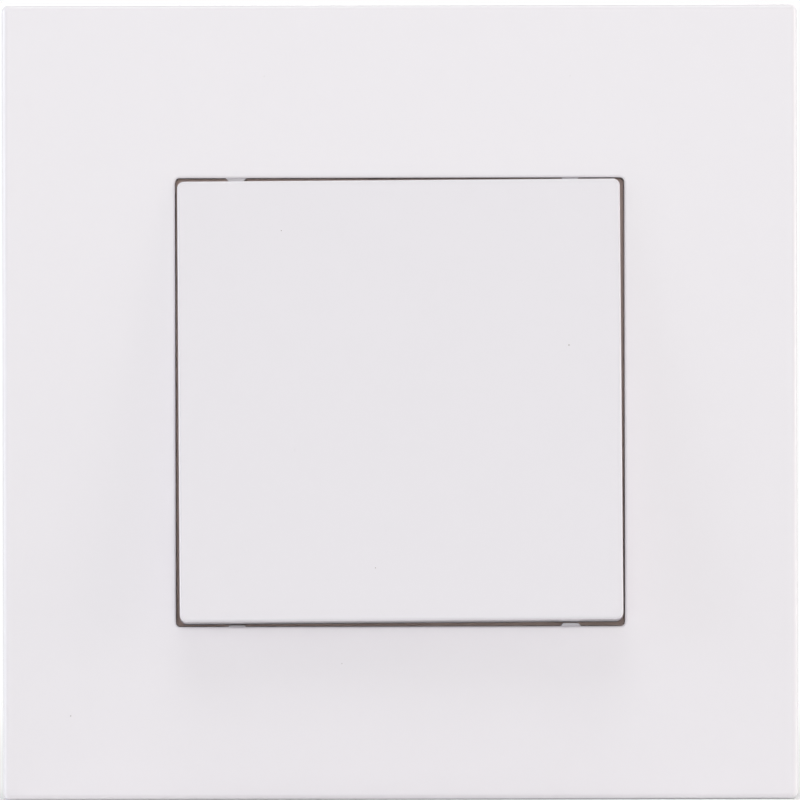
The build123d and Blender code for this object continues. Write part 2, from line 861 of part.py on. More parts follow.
# Release levers: buttons in the cover's slots, whose feet bend the clamp springs away
leaf_run = leaf_corner_y - leaf_tip_y
leaf_rise = leaf_tip - leaf_offset
foot_outer = release_offset + release_height / 2
foot_inner = foot_outer - release_foot
leaf_behind = leaf_sheet / 2 * hypot(leaf_run, leaf_rise) / leaf_rise
leaf_at_foot = leaf_corner_y - (foot_inner - leaf_offset) * leaf_run / leaf_rise + leaf_behind
foot_end = leaf_at_foot + release_foot_gap
stop_y = entry_inside - release_stop_gap


def release_lever(across):
    """A button with a stop flange inside the cover and a foot over the clamp spring."""
    with BuildPart() as lever:
        with BuildSketch(seen_from_front(entry_outside + release_proud, across)):
            with Locations((0, release_offset)):
                Rectangle(release_width, release_height)
        extrude(amount=entry_outside + release_proud - stop_y)
        with BuildSketch(seen_from_front(stop_y, across)):
            with Locations((0, release_offset)):
                Rectangle(
                    release_width + 2 * release_flange, release_height + 2 * release_flange
                )
        extrude(amount=release_flange_depth)
        with BuildSketch(seen_from_front(stop_y, across)):
            with Locations((0, (foot_inner + foot_outer) / 2)):
                Rectangle(release_width, release_foot)
        extrude(amount=stop_y - foot_end)
    return lever


# The finished pieces
pieces = {
    "front_plate": front_plate,
    "mounting_frame": mounting_frame,
    "mechanism_cover": mechanism_cover,
    "rear_housing": rear_housing,
    "terminal_cover": terminal_cover,
    "rocker_cap": rocker_cap,
    "rocker_cradle": rocker_cradle,
    "plunger": plunger,
    "plunger_spring": plunger_spring,
    "contact_lever": contact_lever,
    "moving_contact_upper": moving_contact(contact_arm),
    "moving_contact_lower": moving_contact(-contact_arm),
    "pivot_pin": pivot_pin,
    "common_terminal": common_terminal,
}
for name, across in travellers.items():
    pieces[f"traveller_terminal_{name}"] = traveller_terminal(across)
    pieces[f"fixed_contact_{name}"] = fixed_contact(across)
for name, across in cells.items():
    pieces[f"clamp_spring_{name}"] = clamp_spring(across)
    pieces[f"release_lever_{name}"] = release_lever(across)

os.makedirs("parts", exist_ok=True)
for name, piece in pieces.items():
    piece.part.label = name
    export_step(piece.part, f"parts/{name}.step")
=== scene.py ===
"""Two-way light switch: finishes, springs, moulding marks, dust and studio round the CAD frame.

X points right, Z up and the front faces -Y, in metres. The wall plane is Y = 0, and the origin is
the centre of the fixing slots on that plane. The rocker rests with its upper edge pressed in.
"""

import json
from math import cos, pi, radians, sin

import bmesh
import bpy
from bpy.props import FloatProperty, FloatVectorProperty, IntProperty, PointerProperty
from bpy.types import Operator, Panel, PropertyGroup
from mathutils import Matrix, Vector


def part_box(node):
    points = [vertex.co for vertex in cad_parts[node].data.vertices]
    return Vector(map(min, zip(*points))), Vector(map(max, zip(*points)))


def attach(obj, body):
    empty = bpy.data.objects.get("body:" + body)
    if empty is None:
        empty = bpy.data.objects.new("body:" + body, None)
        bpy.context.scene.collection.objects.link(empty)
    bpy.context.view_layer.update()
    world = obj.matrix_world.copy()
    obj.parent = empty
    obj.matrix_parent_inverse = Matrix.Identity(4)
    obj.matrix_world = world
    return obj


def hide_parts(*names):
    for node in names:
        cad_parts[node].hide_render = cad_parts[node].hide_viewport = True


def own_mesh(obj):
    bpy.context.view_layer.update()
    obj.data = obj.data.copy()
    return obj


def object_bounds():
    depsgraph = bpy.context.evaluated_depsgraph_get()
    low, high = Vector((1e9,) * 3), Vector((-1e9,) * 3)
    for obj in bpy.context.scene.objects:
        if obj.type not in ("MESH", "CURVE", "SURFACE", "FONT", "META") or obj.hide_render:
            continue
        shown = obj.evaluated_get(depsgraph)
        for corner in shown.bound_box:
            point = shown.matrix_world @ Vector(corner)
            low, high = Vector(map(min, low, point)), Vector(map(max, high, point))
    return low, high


bl_info = {
    "name": "Two-Way Light Switch",
    "version": (1, 0, 0),
    "blender": (4, 5, 0),
    "location": "View3D > Sidebar > Light Switch",
    "description": "Dresses a wall switch with finishes, springs, moulding marks and dust",
    "category": "Object",
}

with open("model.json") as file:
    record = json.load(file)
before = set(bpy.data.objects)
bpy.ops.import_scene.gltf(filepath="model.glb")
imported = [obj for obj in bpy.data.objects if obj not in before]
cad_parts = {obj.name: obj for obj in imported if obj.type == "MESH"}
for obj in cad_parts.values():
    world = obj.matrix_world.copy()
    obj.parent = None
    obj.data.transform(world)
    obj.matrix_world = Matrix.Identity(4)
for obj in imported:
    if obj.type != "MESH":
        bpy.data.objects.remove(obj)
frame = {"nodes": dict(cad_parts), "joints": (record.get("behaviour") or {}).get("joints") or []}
frame_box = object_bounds()

MILLIMETRE = 0.001

# Each terminal's cell points away from the switch's centre, square to its across direction
CELLS = {"common": Vector((0, 0, -1)), "upper": Vector((1, 0, 0)), "lower": Vector((-1, 0, 0))}
TRAVELLERS = ("upper", "lower")

# Where the rocker's axis, its back and its plunger's spring are when the upper edge is pressed
ROCKER_TILT = radians(4)
ROCKER_AXIS = Vector((0, frame["joints"][0]["pos_m"][1], 0))
ROCKER_BACK = Vector((0, cos(ROCKER_TILT), -sin(ROCKER_TILT)))
ROCKER_UP = Vector((0, sin(ROCKER_TILT), cos(ROCKER_TILT)))
ROCKER_FACE_DEPTH = 3.2 * MILLIMETRE
SPRING_FRONT = 0.4 * MILLIMETRE
SPRING_BACK = (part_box("plunger")[0].y - ROCKER_AXIS.y) / cos(ROCKER_TILT)

# The clamp springs, from the upper one's box: the fold and the tip lie this deep in the cell
CELL_FLOOR_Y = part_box("clamp_spring_upper")[0].y
LEAF_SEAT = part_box("clamp_spring_upper")[0].z
LEAF_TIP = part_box("clamp_spring_upper")[1].z
LEAF_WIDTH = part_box("clamp_spring_upper")[1].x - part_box("clamp_spring_upper")[0].x
FOLD_DEPTH = 6.9 * MILLIMETRE
TIP_DEPTH = 1.3 * MILLIMETRE

# The faces that carry the marks and the dust
PLATE_FACE_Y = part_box("front_plate")[0].y
HOUSING_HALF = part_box("rear_housing")[1].z
COVER_FACE_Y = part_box("terminal_cover")[1].y

# Where the ejector pins met the rear cover: across and up, in millimetres
EJECTOR_PINS = ((-12.0, 0.0), (0.0, 0.0), (-13.5, 13.5), (-13.5, -13.5))

# Dust on the plate and on the rocker: across, up and size, in millimetres
PLATE_DUST = ((-5.9, -26.3, 0.10), (-33.2, -31.5, 0.14), (-13.6, 32.8, 0.08), (17.2, 32.8, 0.07))
ROCKER_DUST = ((17.0, 5.5, 0.16), (-11.9, 17.1, 0.11), (-2.5, -16.9, 0.12), (-10.6, -5.0, 0.07))
DUST_SEED = 7

# Waves to a metre and their depth, in gloss, in a mould's fine grain and in plated metal
RIPPLE_SCALE = 260
GRAIN_SCALE = 5200
GRAIN_DEPTH = 0.012 * MILLIMETRE
SHINE_SCALE = 900
SHINE_DEPTH = 0.004 * MILLIMETRE

# Edges steeper than this stay sharp
SHARP_EDGE = radians(35)

# The studio: the floor's half width, and where it fades to white for the camera
FLOOR_HALF = 3.0
FLOOR_COLOUR = (0.93, 0.93, 0.93, 1)
FADE_START = 0.1
FADE_END = 0.5

# Each lamp's name, place, size, setting for its power, and colour
LAMPS = (
    ("Left Lamp", (-1.0, -0.14, 0.15), 0.5, "side_light", (0.88, 0.93, 1.0)),
    ("Right Lamp", (1.0, -0.14, 0.15), 0.5, "side_light", (1.0, 0.95, 0.9)),
    ("Front Lamp", (0.0, -1.8, 0.2), 1.2, "front_light", (1.0, 1.0, 1.0)),
    ("Top Lamp", (0.0, -0.35, 1.15), 0.7, "top_light", (1.0, 1.0, 1.0)),
    ("Back Lamp", (0.3, 1.4, 0.7), 0.9, "back_light", (1.0, 1.0, 1.0)),
)


def colour_property(name, description, default):
    """A colour that the panel shows with its alpha."""
    return FloatVectorProperty(
        name=name, description=description, default=default, size=4, min=0, max=1, subtype="COLOR"
    )


def length_property(name, description, default):
    """A length in metres."""
    return FloatProperty(
        name=name, description=description, default=default, min=0, precision=5, unit="LENGTH"
    )


def factor_property(name, description, default):
    """A share from 0 to 1."""
    return FloatProperty(
        name=name, description=description, default=default, min=0, max=1, subtype="FACTOR"
    )


def power_property(name, description, default):
    """A lamp's power in watts."""
    return FloatProperty(name=name, description=description, default=default, min=0, unit="POWER")


class FinishSettings(PropertyGroup):
    """Colours and gloss of the switch's pieces."""

    plate: colour_property("Plate", "Glossy white of the front plate", (0.832, 0.806, 0.834, 1))
    # Painted shade: the plate's glossy white made darker, so the rocker shows the shade it gets
    # under the lamps
    rocker: colour_property("Rocker", "Glossy white of the rocker cap", (0.765, 0.741, 0.772, 1))
    # Painted shade: the cover's warm beige and its shine tint carry the brown of the shaded gap
    # round the rocker, lightened for the light that reaches into that gap
    inside: colour_property("Inside", "Warm beige of the mechanism cover", (0.76, 0.6, 0.54, 1))
    cover_painted_reflection_tint: colour_property("Inside shine", "Tint of the cover's shine", (1, 0.76, 0.7, 1))
    cradle: colour_property("Cradle", "Grey of the rocker's cradle", (0.33, 0.33, 0.32, 1))
    plunger: colour_property("Plunger", "Natural plastic of the plunger", (0.62, 0.59, 0.50, 1))
    housing: colour_property("Housing", "Light grey of the housing", (0.47, 0.47, 0.455, 1))
    release: colour_property("Release", "Orange of the release buttons", (0.62, 0.10, 0.012, 1))
    zinc: colour_property("Zinc", "Plated steel of the mounting frame", (0.58, 0.60, 0.63, 1))
    steel: colour_property("Steel", "Bright steel of springs and pin", (0.52, 0.52, 0.53, 1))
    brass: colour_property("Brass", "Brass of the terminals", (0.70, 0.50, 0.20, 1))
    copper: colour_property("Copper", "Copper alloy of the contact lever", (0.72, 0.36, 0.21, 1))
    silver: colour_property("Silver", "Silver of the contacts", (0.82, 0.81, 0.78, 1))
    dust: colour_property("Dust", "Brown grey of the dust", (0.23, 0.19, 0.165, 1))
    gloss: factor_property("Gloss roughness", "Roughness of the front's glossy plastic", 0.22)
    ripple: length_property("Ripple depth", "Depth of the moulded surface's faint waves", 0.000004)


class SpringSettings(PropertyGroup):
    """Sizes of the plunger's coil and of the clamp springs."""

    wire: length_property("Wire", "Thickness of the coil's wire", 0.0004)
    radius: length_property("Coil radius", "Mean radius of the coil", 0.0013)
    turns: IntProperty(name="Turns", description="Turns of the coil", default=6, min=1)
    leaf: length_property("Leaf", "Thickness of a clamp spring", 0.0004)
    bend: length_property("Bend", "Radius of a clamp spring's fold", 0.0011)


class MouldingSettings(PropertyGroup):
    """Sizes of what the mould leaves on the housing."""

    rib_count: IntProperty(name="Ribs", description="Grip ribs on each wall", default=9, min=1)
    rib_pitch: length_property("Rib pitch", "Distance between two grip ribs", 0.0028)
    rib_radius: length_property("Rib radius", "How far a grip rib stands out", 0.0003)
    rib_length: length_property("Rib length", "Length of a grip rib", 0.0105)
    mark_radius: length_property("Mark radius", "Radius of an ejector pin's mark", 0.0014)
    mark_height: length_property("Mark height", "How far a mark stands out", 0.00006)


class StudioSettings(PropertyGroup):
    """The photograph's distance and light."""

    distance: length_property("Distance", "From the wall plane to the camera", 1.6)
    field: length_property("Field", "Width of the picture at the plate's face", 0.0805)
    rise: FloatProperty(
        name="Rise",
        description="How far the camera stands above the middle",
        default=0.00022,
        precision=5,
        unit="LENGTH",
    )
    roll: FloatProperty(
        name="Roll",
        description="Turn of the camera about its line of sight",
        default=radians(0.12),
        subtype="ANGLE",
    )
    surround: factor_property("Surround", "Level of the light from all round", 0.385)
    side_light: power_property("Side light", "Power of each side lamp", 3.9)
    front_light: power_property("Front light", "Power of the broad lamp behind the camera", 9.1)
    top_light: power_property("Top light", "Power of the lamp above the switch", 4.3)
    back_light: power_property("Back light", "Power of the lamp behind the switch", 5.5)


# Materials


def new_material(name, colour, roughness, metallic=0.0):
    """A material whose plain values stand on the shader's own sockets, with its nodes and links."""
    material = bpy.data.materials.new(name)
    material.use_nodes = True
    shader = material.node_tree.nodes["Principled BSDF"]
    shader.inputs["Base Color"].default_value = colour
    shader.inputs["Roughness"].default_value = roughness
    shader.inputs["Metallic"].default_value = metallic
    material.diffuse_color = colour
    return material


def add_waves(material, scale, depth, detail=2.0, stretch=(1, 1, 1)):
    """Faint relief from noise on the object's own coordinates, scale waves to a metre."""
    nodes = material.node_tree.nodes
    links = material.node_tree.links
    place = nodes.new("ShaderNodeTexCoord")
    mapping = nodes.new("ShaderNodeMapping")
    mapping.inputs["Scale"].default_value = stretch
    noise = nodes.new("ShaderNodeTexNoise")
    noise.inputs["Scale"].default_value = scale
    noise.inputs["Detail"].default_value = detail
    bump = nodes.new("ShaderNodeBump")
    bump.inputs["Distance"].default_value = depth
    links.new(place.outputs["Object"], mapping.inputs["Vector"])
    links.new(mapping.outputs["Vector"], noise.inputs["Vector"])
    links.new(noise.outputs["Fac"], bump.inputs["Height"])
    links.new(bump.outputs["Normal"], nodes["Principled BSDF"].inputs["Normal"])
    return noise


def add_roughness_patches(material, noise, low, high):
    """Roughness that drifts between low and high with the noise."""
    nodes = material.node_tree.nodes
    spread = nodes.new("ShaderNodeMapRange")
    spread.inputs["To Min"].default_value = low
    spread.inputs["To Max"].default_value = high
    links = material.node_tree.links
    links.new(noise.outputs["Fac"], spread.inputs["Value"])
    links.new(spread.outputs["Result"], nodes["Principled BSDF"].inputs["Roughness"])


def gloss_plastic(name, colour, roughness, ripple, shine=0.5, tint=(1, 1, 1, 1)):
    """Smooth moulded plastic with a faint ripple and a shine of this strength and tint."""
    material = new_material(name, colour, roughness)
    shader = material.node_tree.nodes["Principled BSDF"]
    shader.inputs["Specular IOR Level"].default_value = shine
    shader.inputs["Specular Tint"].default_value = tint
    add_waves(material, RIPPLE_SCALE, ripple)
    return material


def matt_plastic(name, colour, roughness=0.48):
    """Plastic from a finely eroded mould."""
    material = new_material(name, colour, roughness)
    add_waves(material, GRAIN_SCALE, GRAIN_DEPTH, detail=3.0)
    return material


def plated_metal(name, colour, roughness, stretch=(1, 1, 1)):
    """Metal with a soft drift in its shine, drawn out along the sheet's rolling."""
    material = new_material(name, colour, roughness, metallic=1.0)
    noise = add_waves(material, SHINE_SCALE, SHINE_DEPTH, detail=4.0, stretch=stretch)
    add_roughness_patches(material, noise, roughness - 0.07, roughness + 0.12)
    return material


def paint(material, *names):
    """These CAD nodes take this material."""
    for name in names:
        for slot in frame["nodes"][name].material_slots:
            slot.material = material


# Geometry Nodes


def new_tree(name, inputs):
    """A modifier tree with a geometry input, these named inputs and a geometry output."""
    tree = bpy.data.node_groups.new(name, "GeometryNodeTree")
    tree.is_modifier = True
    interface = tree.interface
    interface.new_socket("Geometry", in_out="INPUT", socket_type="NodeSocketGeometry")
    for label, kind in inputs:
        interface.new_socket(label, in_out="INPUT", socket_type=kind)
    interface.new_socket("Geometry", in_out="OUTPUT", socket_type="NodeSocketGeometry")
    return tree, tree.nodes.new("NodeGroupInput"), tree.nodes.new("NodeGroupOutput")


def close_tree(tree, start, geometry, end):
    """Realize Instances and Set Material stand last, before the output."""
    realize = tree.nodes.new("GeometryNodeRealizeInstances")
    shade = tree.nodes.new("GeometryNodeSetMaterial")
    tree.links.new(geometry, realize.inputs["Geometry"])
    tree.links.new(realize.outputs["Geometry"], shade.inputs["Geometry"])
    tree.links.new(start.outputs["Material"], shade.inputs["Material"])
    tree.links.new(shade.outputs["Geometry"], end.inputs["Geometry"])


def coil_tree():
    """Round wire wound at an even pitch along local Z."""
    tree, start, end = new_tree(
        "Wound Coil",
        [
            ("Turns", "NodeSocketFloat"),
            ("Coil Radius", "NodeSocketFloat"),
            ("Height", "NodeSocketFloat"),
            ("Wire Radius", "NodeSocketFloat"),
            ("Steps per Turn", "NodeSocketInt"),
            ("Material", "NodeSocketMaterial"),
        ],
    )
    spiral = tree.nodes.new("GeometryNodeCurveSpiral")
    section = tree.nodes.new("GeometryNodeCurvePrimitiveCircle")
    section.inputs["Resolution"].default_value = 12
    sweep = tree.nodes.new("GeometryNodeCurveToMesh")
    sweep.inputs["Fill Caps"].default_value = True
    smooth = tree.nodes.new("GeometryNodeSetShadeSmooth")
    link = tree.links.new
    link(start.outputs["Steps per Turn"], spiral.inputs["Resolution"])
    link(start.outputs["Turns"], spiral.inputs["Rotations"])
    link(start.outputs["Coil Radius"], spiral.inputs["Start Radius"])
    link(start.outputs["Coil Radius"], spiral.inputs["End Radius"])
    link(start.outputs["Height"], spiral.inputs["Height"])
    link(start.outputs["Wire Radius"], section.inputs["Radius"])
    link(spiral.outputs["Curve"], sweep.inputs["Curve"])
    link(section.outputs["Curve"], sweep.inputs["Profile Curve"])
    link(sweep.outputs["Mesh"], smooth.inputs["Geometry"])
    close_tree(tree, start, smooth.outputs["Geometry"], end)
    return tree


def leaf_tree():
    """A flat strip that follows the incoming path in local XY, with its corners bent round."""
    tree, start, end = new_tree(
        "Bent Leaf",
        [
            ("Sheet", "NodeSocketFloat"),
            ("Width", "NodeSocketFloat"),
            ("Bend Radius", "NodeSocketFloat"),
            ("Material", "NodeSocketMaterial"),
        ],
    )
    path = tree.nodes.new("GeometryNodeMeshToCurve")
    bend = tree.nodes.new("GeometryNodeFilletCurve")
    bend.mode = "POLY"
    bend.inputs["Count"].default_value = 10
    upright = tree.nodes.new("GeometryNodeSetCurveNormal")
    upright.mode = "Z_UP"
    section = tree.nodes.new("GeometryNodeCurvePrimitiveQuadrilateral")
    sweep = tree.nodes.new("GeometryNodeCurveToMesh")
    sweep.inputs["Fill Caps"].default_value = True
    link = tree.links.new
    link(start.outputs["Geometry"], path.inputs["Mesh"])
    link(path.outputs["Curve"], bend.inputs["Curve"])
    link(start.outputs["Bend Radius"], bend.inputs["Radius"])
    link(bend.outputs["Curve"], upright.inputs["Curve"])
    link(start.outputs["Sheet"], section.inputs["Width"])
    link(start.outputs["Width"], section.inputs["Height"])
    link(upright.outputs["Curve"], sweep.inputs["Curve"])
    link(section.outputs["Curve"], sweep.inputs["Profile Curve"])
    close_tree(tree, start, sweep.outputs["Mesh"], end)
    return tree


def rib_tree():
    """Half-round ribs along local Z, side by side along local X and centred on the origin."""
    tree, start, end = new_tree(
        "Grip Ribs",
        [
            ("Count", "NodeSocketInt"),
            ("Pitch", "NodeSocketFloat"),
            ("Radius", "NodeSocketFloat"),
            ("Length", "NodeSocketFloat"),
            ("Material", "NodeSocketMaterial"),
        ],
    )
    nodes = tree.nodes
    link = tree.links.new
    last = nodes.new("ShaderNodeMath")
    last.operation = "SUBTRACT"
    last.inputs[1].default_value = 1
    half_row = nodes.new("ShaderNodeMath")
    half_row.operation = "MULTIPLY"
    half = nodes.new("ShaderNodeMath")
    half.operation = "MULTIPLY"
    half.inputs[1].default_value = -0.5
    first = nodes.new("ShaderNodeCombineXYZ")
    step = nodes.new("ShaderNodeCombineXYZ")
    row = nodes.new("GeometryNodeMeshLine")
    rib = nodes.new("GeometryNodeMeshCylinder")
    rib.inputs["Vertices"].default_value = 16
    copies = nodes.new("GeometryNodeInstanceOnPoints")
    link(start.outputs["Count"], last.inputs[0])
    link(last.outputs["Value"], half_row.inputs[0])
    link(start.outputs["Pitch"], half_row.inputs[1])
    link(half_row.outputs["Value"], half.inputs[0])
    link(half.outputs["Value"], first.inputs["X"])
    link(start.outputs["Pitch"], step.inputs["X"])
    link(start.outputs["Count"], row.inputs["Count"])
    link(first.outputs["Vector"], row.inputs["Start Location"])
    link(step.outputs["Vector"], row.inputs["Offset"])
    link(start.outputs["Radius"], rib.inputs["Radius"])
    link(start.outputs["Length"], rib.inputs["Depth"])
    link(row.outputs["Mesh"], copies.inputs["Points"])
    link(rib.outputs["Mesh"], copies.inputs["Instance"])
    close_tree(tree, start, copies.outputs["Instances"], end)
    return tree


def mark_tree():
    """Low round discs, their axes along local Y, on the incoming points."""
    tree, start, end = new_tree(
        "Ejector Marks",
        [
            ("Radius", "NodeSocketFloat"),
            ("Height", "NodeSocketFloat"),
            ("Material", "NodeSocketMaterial"),
        ],
    )
    disc = tree.nodes.new("GeometryNodeMeshCylinder")
    disc.inputs["Vertices"].default_value = 32
    copies = tree.nodes.new("GeometryNodeInstanceOnPoints")
    copies.inputs["Rotation"].default_value = (pi / 2, 0, 0)
    link = tree.links.new
    link(start.outputs["Radius"], disc.inputs["Radius"])
    link(start.outputs["Height"], disc.inputs["Depth"])
    link(start.outputs["Geometry"], copies.inputs["Points"])
    link(disc.outputs["Mesh"], copies.inputs["Instance"])
    close_tree(tree, start, copies.outputs["Instances"], end)
    return tree


def dust_tree():
    """Uneven specks on the incoming points, each as large as its point's size attribute."""
    tree, start, end = new_tree(
        "Dust Specks",
        [("Seed", "NodeSocketInt"), ("Material", "NodeSocketMaterial")],
    )
    nodes = tree.nodes
    link = tree.links.new
    speck = nodes.new("GeometryNodeMeshIcoSphere")
    speck.inputs["Radius"].default_value = 1
    speck.inputs["Subdivisions"].default_value = 2
    size = nodes.new("GeometryNodeInputNamedAttribute")
    size.data_type = "FLOAT"
    size.inputs["Name"].default_value = "size"
    shape = nodes.new("FunctionNodeRandomValue")
    shape.data_type = "FLOAT_VECTOR"
    shape.inputs["Min"].default_value = (0.7, 0.35, 0.5)
    shape.inputs["Max"].default_value = (1.0, 0.45, 0.9)
    scale = nodes.new("ShaderNodeVectorMath")
    scale.operation = "SCALE"
    turn = nodes.new("FunctionNodeRandomValue")
    turn.data_type = "FLOAT_VECTOR"
    turn.inputs["Min"].default_value = (0, -pi, 0)
    turn.inputs["Max"].default_value = (0, pi, 0)
    copies = nodes.new("GeometryNodeInstanceOnPoints")
    link(start.outputs["Seed"], shape.inputs["Seed"])
    link(start.outputs["Seed"], turn.inputs["Seed"])
    link(shape.outputs["Value"], scale.inputs[0])
    link(size.outputs["Attribute"], scale.inputs["Scale"])
    link(start.outputs["Geometry"], copies.inputs["Points"])
    link(speck.outputs["Mesh"], copies.inputs["Instance"])
    link(turn.outputs["Value"], copies.inputs["Rotation"])
    link(scale.outputs["Vector"], copies.inputs["Scale"])
    close_tree(tree, start, copies.outputs["Instances"], end)
    return tree


def new_object(name, points=(), edges=()):
    """An object at the origin whose mesh has these points and edges."""
    mesh = bpy.data.meshes.new(name)
    mesh.from_pydata([tuple(point) for point in points], edges, [])
    piece = bpy.data.objects.new(name, mesh)
    bpy.context.scene.collection.objects.link(piece)
    return piece


def grow(piece, tree, values):
    """Runs the tree on the piece with these inputs and keeps the result as its plain mesh."""
    modifier = piece.modifiers.new(tree.name, "NODES")
    modifier.node_group = tree
    for item in tree.interface.items_tree:
        if item.in_out == "INPUT" and item.name in values:
            modifier[item.identifier] = values[item.name]
    depsgraph = bpy.context.evaluated_depsgraph_get()
    mesh = bpy.data.meshes.new_from_object(piece.evaluated_get(depsgraph), depsgraph=depsgraph)
    piece.modifiers.remove(modifier)
    piece.data = mesh
    if not mesh.polygons:
        raise RuntimeError(f"{piece.name} came out empty")


def outward(piece):
    """Turns every face outwards and keeps only the steep edges sharp."""
    shape = bmesh.new()
    shape.from_mesh(piece.data)
    bmesh.ops.remove_doubles(shape, verts=shape.verts, dist=1e-7)
    bmesh.ops.recalc_face_normals(shape, faces=shape.faces)
    for face in shape.faces:
        face.smooth = True
    shape.to_mesh(piece.data)
    shape.free()
    piece.data.set_sharp_from_angle(angle=SHARP_EDGE)


def placed(origin, x_axis, y_axis, z_axis):
    """The matrix that puts local axes at the origin along these directions."""
    matrix = Matrix((x_axis, y_axis, z_axis)).transposed().to_4x4()
    matrix.translation = origin
    return matrix


# Operators


class SWITCH_OT_finish_front(Operator):
    """Give the plate its glossy white and the rocker cap a darker copy of it as painted shade"""

    bl_idname = "light_switch.finish_front"
    bl_label = "Finish Front"

    def execute(self, context):
        finish = context.scene.switch_finish
        plate = gloss_plastic("Plate White", finish.plate, finish.gloss, finish.ripple)
        paint(plate, "front_plate")
        # The rocker's darker white is painted shade
        rocker = gloss_plastic("Rocker White", finish.rocker, finish.gloss, finish.ripple)
        paint(rocker, "rocker_cap")
        return {"FINISHED"}


class SWITCH_OT_finish_mechanism(Operator):
    """Give the mechanism's cover, the cradle and the plunger their plastics, the cover's with
    painted shade for the gap round the rocker
    """

    bl_idname = "light_switch.finish_mechanism"
    bl_label = "Finish Mechanism"

    def execute(self, context):
        finish = context.scene.switch_finish
        # The cover's colour and shine tint are painted shade for the gap round the rocker
        cover = gloss_plastic(
            "Cover Beige",
            finish.inside,
            roughness=0.1,
            ripple=finish.ripple,
            shine=0.9,
            tint=finish.cover_painted_reflection_tint,
        )
        paint(cover, "mechanism_cover")
        paint(matt_plastic("Cradle Grey", finish.cradle), "rocker_cradle")
        paint(matt_plastic("Plunger Natural", finish.plunger, roughness=0.35), "plunger")
        return {"FINISHED"}


class SWITCH_OT_finish_housing(Operator):
    """Give the housing, its rear cover and the release buttons their plastics"""

    bl_idname = "light_switch.finish_housing"
    bl_label = "Finish Housing"

    def execute(self, context):
        finish = context.scene.switch_finish
        paint(matt_plastic("Housing Grey", finish.housing), "rear_housing", "terminal_cover")
        buttons = [f"release_lever_{cell}" for cell in CELLS]
        paint(matt_plastic("Release Orange", finish.release, roughness=0.4), *buttons)
        return {"FINISHED"}


class SWITCH_OT_finish_metal(Operator):
    """Give the frame, the terminals, the lever and the contacts their metals"""

    bl_idname = "light_switch.finish_metal"
    bl_label = "Finish Metal"

    def execute(self, context):
        finish = context.scene.switch_finish
        zinc = plated_metal("Frame Zinc", finish.zinc, roughness=0.36, stretch=(0.08, 1, 1))
        paint(zinc, "mounting_frame")
        brass = plated_metal("Terminal Brass", finish.brass, roughness=0.3)
        paint(brass, "common_terminal", *(f"traveller_terminal_{cell}" for cell in TRAVELLERS))
        paint(plated_metal("Lever Copper", finish.copper, roughness=0.28), "contact_lever")
        silver = plated_metal("Contact Silver", finish.silver, roughness=0.22)
        for cell in TRAVELLERS:
            paint(silver, f"moving_contact_{cell}", f"fixed_contact_{cell}")
        paint(plated_metal("Pin Steel", finish.steel, roughness=0.25), "pivot_pin")
        return {"FINISHED"}


class SWITCH_OT_wind_spring(Operator):
    """Wind the plunger's round wire spring in place of its plain solid"""

    bl_idname = "light_switch.wind_spring"
    bl_label = "Wind Plunger Spring"

    def execute(self, context):
        sizes = context.scene.switch_springs
        finish = context.scene.switch_finish
        front = ROCKER_AXIS + ROCKER_BACK * (SPRING_FRONT + sizes.wire / 2)
        height = SPRING_BACK - SPRING_FRONT - sizes.wire
        coil = new_object("plunger_coil")
        grow(
            coil,
            coil_tree(),
            {
                "Turns": float(sizes.turns),
                "Coil Radius": sizes.radius,
                "Height": height,
                "Wire Radius": sizes.wire / 2,
                "Steps per Turn": 40,
                "Material": plated_metal("Spring Steel", finish.steel, roughness=0.24),
            },
        )
        side = Vector((1, 0, 0))
        coil.data.transform(placed(front, side, ROCKER_BACK.cross(side), ROCKER_BACK))
        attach(coil, "rocker")
        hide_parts("plunger_spring")
        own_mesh(coil)
        return {"FINISHED"}


class SWITCH_OT_bend_leaves(Operator):
    """Bend the three clamp springs from strip"""

    bl_idname = "light_switch.bend_leaves"
    bl_label = "Bend Clamp Springs"

    def execute(self, context):
        sizes = context.scene.switch_springs
        finish = context.scene.switch_finish
        steel = plated_metal("Clamp Steel", finish.steel, roughness=0.27)
        tree = leaf_tree()
        for name, across in CELLS.items():
            outwards = Vector((0, -1, 0)).cross(across)
            centre = LEAF_SEAT + sizes.leaf / 2
            path = (
                (CELL_FLOOR_Y, centre, 0),
                (CELL_FLOOR_Y + FOLD_DEPTH, centre, 0),
                (CELL_FLOOR_Y + TIP_DEPTH, LEAF_TIP - sizes.leaf / 2, 0),
            )
            leaf = new_object(f"clamp_leaf_{name}", path, [(0, 1), (1, 2)])
            grow(
                leaf,
                tree,
                {
                    "Sheet": sizes.leaf,
                    "Width": LEAF_WIDTH,
                    "Bend Radius": sizes.bend,
                    "Material": steel,
                },
            )
            depth = Vector((0, 1, 0))
            leaf.data.transform(placed(Vector(), depth, outwards, depth.cross(outwards)))
            outward(leaf)
            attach(leaf, "base")
            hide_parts(f"clamp_spring_{name}")
            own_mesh(leaf)
        return {"FINISHED"}


class SWITCH_OT_mould_ribs(Operator):
    """Mould grip ribs along the housing's upper and lower walls"""

    bl_idname = "light_switch.mould_ribs"
    bl_label = "Mould Grip Ribs"

    def execute(self, context):
        sizes = context.scene.switch_moulding
        plastic = frame["nodes"]["rear_housing"].material_slots[0].material
        lower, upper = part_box("rear_housing")
        middle = (lower.y + upper.y) / 2
        tree = rib_tree()
        for name, side in (("upper", 1), ("lower", -1)):
            ribs = new_object(f"grip_ribs_{name}")
            grow(
                ribs,
                tree,
                {
                    "Count": sizes.rib_count,
                    "Pitch": sizes.rib_pitch,
                    "Radius": sizes.rib_radius,
                    "Length": sizes.rib_length,
                    "Material": plastic,
                },
            )
            wall = Vector((0, middle, side * HOUSING_HALF))
            ribs.data.transform(
                placed(wall, Vector((1, 0, 0)), Vector((0, 0, -1)), Vector((0, 1, 0)))
            )
            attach(ribs, "base")
        return {"FINISHED"}


